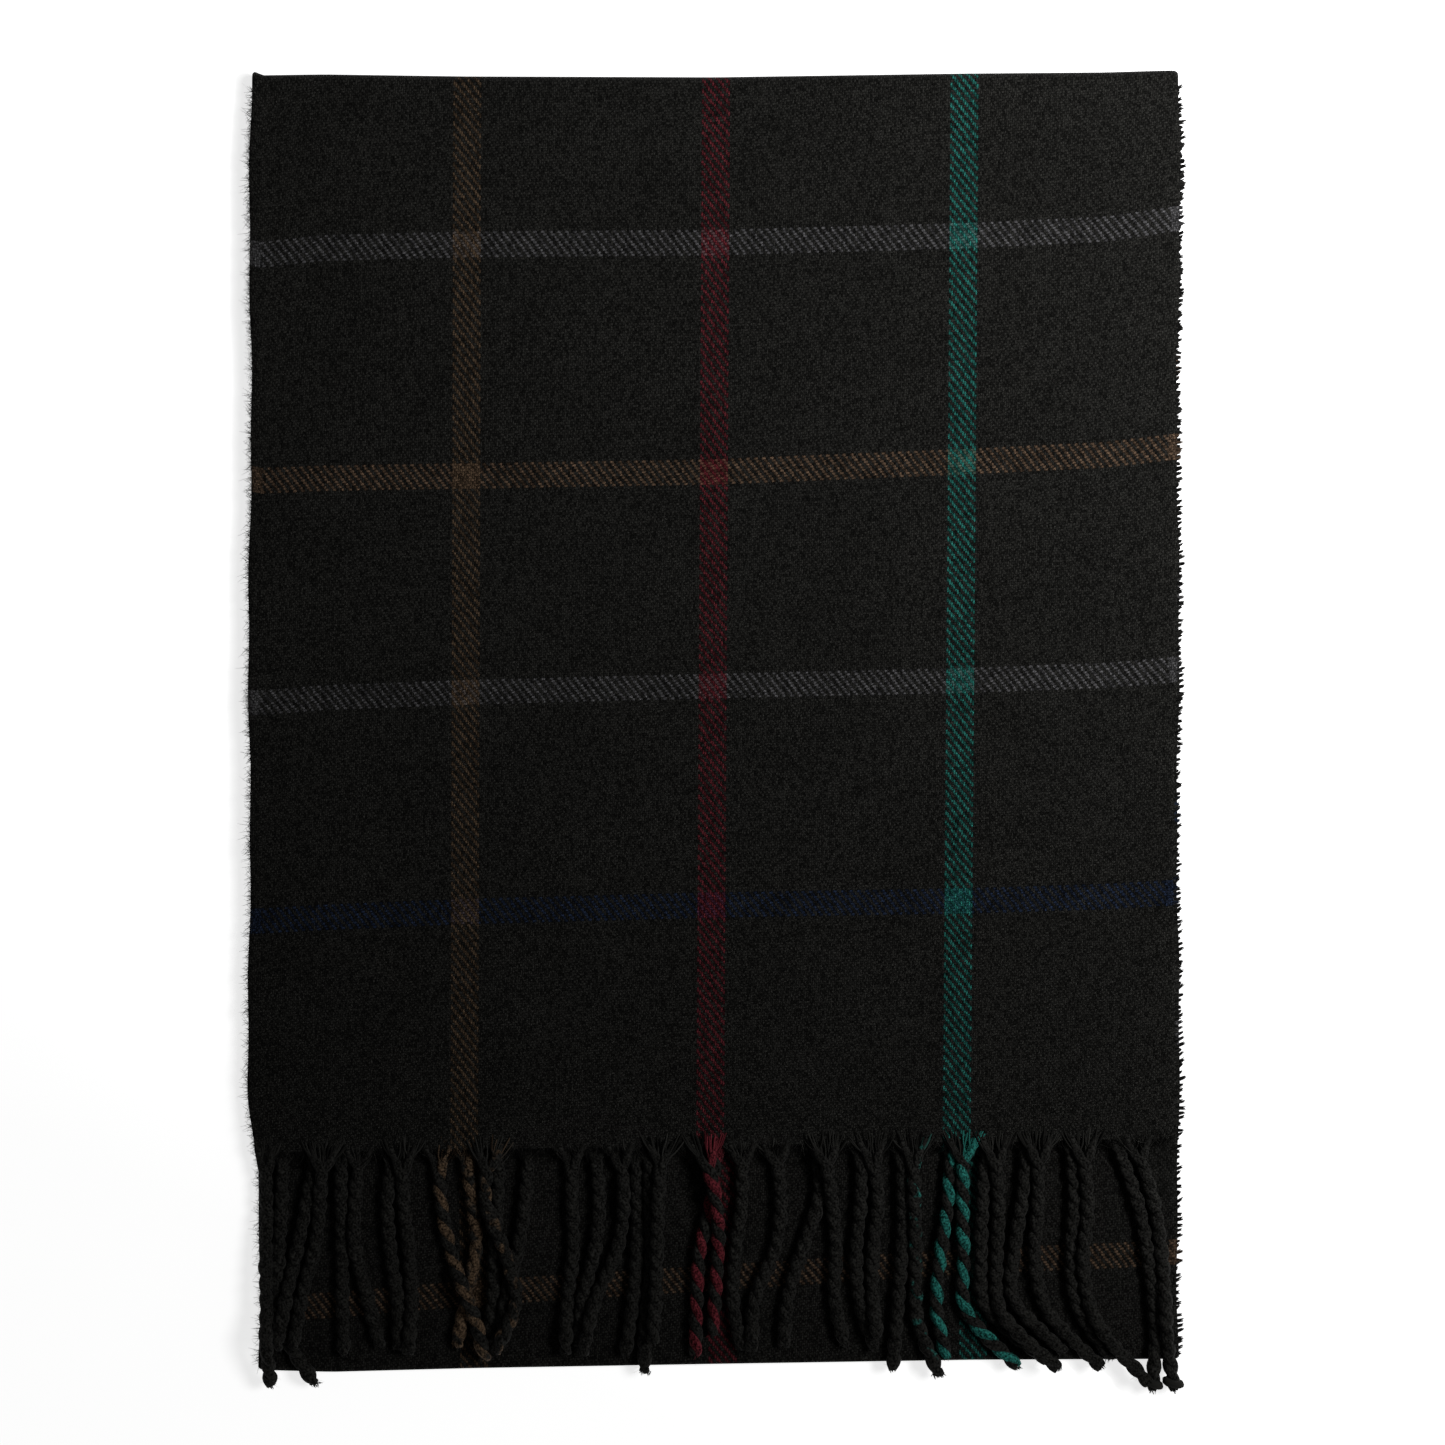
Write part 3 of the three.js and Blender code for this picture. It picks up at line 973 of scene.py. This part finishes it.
# %% Kinds of fibre
CLIPPED_PITCH = 1.94
CLIPPED_FIBRES = 7
CLIPPED_RADIUS = 0.42
SOFT_EDGE_COUNT = 1300
SOFT_EDGE_RADIUS = 0.1
SOFT_END_COUNT = {3: 4200, 2: 600}  # by level: the top layer's end shows most
SOFT_END_RADIUS = 0.13
SHORT_OF_FOLD = 3.0  # the fibres stop here, or the two halves' fibres would cross as the throw opens


def clipped_tufts(bundle, level, low_y, high_y):
    """A blunt tuft of fibres to about every other pick of the right selvedge. They slant towards the fold."""
    places = np.arange(low_y, high_y, CLIPPED_PITCH)
    each = CLIPPED_FIBRES
    y = np.repeat(places, each) + np.tile(np.linspace(-0.4, 0.4, each), len(places))
    n = len(y)
    x = np.full(n, RIGHT - CLIPPED_IN - 0.8)
    lean = np.repeat(rng.normal(0.35, 0.22, len(places)), each)
    ways = unit(np.column_stack([np.ones(n), lean + rng.normal(0, 0.05, n), rng.normal(0, 0.12, n)]))
    tuft = np.repeat(rng.uniform(1.9, 3.4, len(places)), each)
    lengths = tuft * rng.uniform(0.85, 1.1, n)
    add_fibres(bundle, x, y, level, ways, lengths, np.zeros_like(ways), CLIPPED_RADIUS)


def soft_edge(bundle, level, low_y, high_y):
    """Fine fibres along the left selvedge."""
    count = SOFT_EDGE_COUNT
    y = rng.uniform(low_y, high_y, count)
    x = np.full(count, LEFT + 0.3)
    ways = unit(np.column_stack([-np.ones(count), rng.normal(0, 0.6, count), rng.normal(0.05, 0.3, count)]))
    bends = rng.normal(size=(count, 3)) * [0.3, 0.5, 0.2]
    add_fibres(bundle, x, y, level, ways, rng.uniform(0.8, 3.2, count), bends, SOFT_EDGE_RADIUS)


def soft_end(bundle, level):
    """Fibres and broken ends lying over a fringed end, so that the cloth has no hard line there."""
    count = SOFT_END_COUNT[level]
    x = rng.uniform(LEFT + 1, RIGHT - 2, count)
    y = ENDS_Y + rng.uniform(0.0, 2.6, count)
    ways = unit(np.column_stack([rng.normal(0, 0.55, count), -np.ones(count), rng.normal(0.22, 0.12, count)]))
    bends = rng.normal(size=(count, 3)) * [0.5, 0.2, 0.1] - [0, 0, 0.35]
    add_fibres(bundle, x, y, level, ways, rng.uniform(1.5, 5.5, count), bends, SOFT_END_RADIUS)


# %% Make the edge fibres
def edge_fibres(name, body, levels, low_y):
    """All fibres of one half of the throw, as one piece that moves with it."""
    bundle = Bundle()
    high_y = HINGE_Y - SHORT_OF_FOLD
    clipped_tufts(bundle, levels[0], low_y, high_y)
    for level in levels:
        soft_edge(bundle, level, low_y, high_y)
        if body == "upper_half":
            soft_end(bundle, level)
    piece = bundle.piece(name, twill)
    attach(piece, body)
    return piece


edges = [
    edge_fibres("selvedge_fibres_upper", "upper_half", (3, 2), ENDS_Y),
    edge_fibres("selvedge_fibres_lower", "lower_half", (1, 0), FOOT_AXIS_Y),
]
print("edge fibres:", [len(piece.data.polygons) for piece in edges])

# %% [markdown]
# ## Setting the cloth in place
#
# The throw opens at the fold at the top, where the upper half turns on the lower half. The turning happens
# in the thin gap between the second and third layers, so every layer stays flat. The cloth is one mesh of
# its real size, with its place baked in, and the fringe and the edge fibres hang from the empties of the
# halves.

GAP = box_mm(SECOND)[0][2] - box_mm(THIRD)[1][2]
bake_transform(cloth)
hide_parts(TOP, SECOND, THIRD, BOTTOM, "top_fold_outer", "top_fold_inner", "foot_fold")
print("sheet", round(CLOTH_WIDTH), "x", round(CLOTH_LENGTH), "mm")

# %% [markdown]
# ## Floor and light
#
# The floor is plain white and mostly self-lit, as a light table is, so that it stays white round a nearly
# black cloth. The key lamp stands on the right and is aimed past the top corner. Its light rakes across the
# nap and leaves deep shade on the left of every cord. A large lamp farther off on the right fills in the
# shade, and a weak sky does the rest.

# %% Floor
FLOOR_HALF = 12.0  # in metres, so wide that its edge never shows
FLOOR_DROP = 0.0002  # just under the lowest point of the throw
floor_finish = Finish("floor")
white = floor_finish.node("ShaderNodeBsdfPrincipled", None, {
    "Base Color": (0.95, 0.95, 0.95, 1), "Roughness": 0.9, "Specular IOR Level": 0.1,
    "Emission Color": (1, 1, 1, 1), "Emission Strength": 0.75,
})
floor_finish.node("ShaderNodeOutputMaterial", None, {0: white})
floor_mesh = bpy.data.meshes.new("floor")
floor_corners = [(x * FLOOR_HALF, y * FLOOR_HALF, 0) for x, y in ((-1, -1), (1, -1), (1, 1), (-1, 1))]
floor_mesh.from_pydata(floor_corners, [], [(0, 1, 2, 3)])
floor_mesh.materials.append(floor_finish.material)
floor = bpy.data.objects.new("floor", floor_mesh)
bpy.context.scene.collection.objects.link(floor)
floor.location.z = -FLOOR_DROP
floor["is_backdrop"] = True
print("floor is", round(2 * FLOOR_HALF), "m wide")

# %% Lights
def lamp(name, place, aim, size, watts):
    """A round lamp at a place, turned to face its aim. Lengths are in metres."""
    data = bpy.data.lights.new(name, "AREA")
    data.shape = "DISK"
    data.size, data.energy = size, watts
    made = bpy.data.objects.new(name, data)
    made.location = place
    made.rotation_euler = (Vector(aim) - Vector(place)).to_track_quat("-Z", "Y").to_euler()
    bpy.context.scene.collection.objects.link(made)


lamp("key", place=(0.52, 0.10, 0.60), aim=(0.80, 0.72, 0.0), size=0.22, watts=11.8)
lamp("fill", place=(1.9, 0.3, 2.4), aim=(0.0, 0.0, 0.0), size=1.0, watts=26.5)
print("lamps:", sorted(data.name for data in bpy.data.lights))

# %% Sky and view
world = bpy.data.worlds.new("sky")
world.use_nodes = True
sky = world.node_tree.nodes["Background"]
sky.inputs["Color"].default_value = (1, 1, 1, 1)
sky.inputs["Strength"].default_value = 0.06
bpy.context.scene.world = world
bpy.context.scene.view_settings.view_transform = "Standard"
bpy.context.scene.view_settings.look = "None"
print("sky strength:", round(sky.inputs["Strength"].default_value, 2))

# %% [markdown]
# ## The size of the finished look
#
# The box round everything that is shown is printed in millimetres; soft fabric may stand a little proud of
# the frame. The finished look has to stay with the frame's size, apart from a little that soft fabric may
# stand proud.

# %% Size of the finished look
visual_box = [list(corner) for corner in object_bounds()]
print("visual box in mm:", [[round(v / MM, 1) for v in corner] for corner in visual_box])
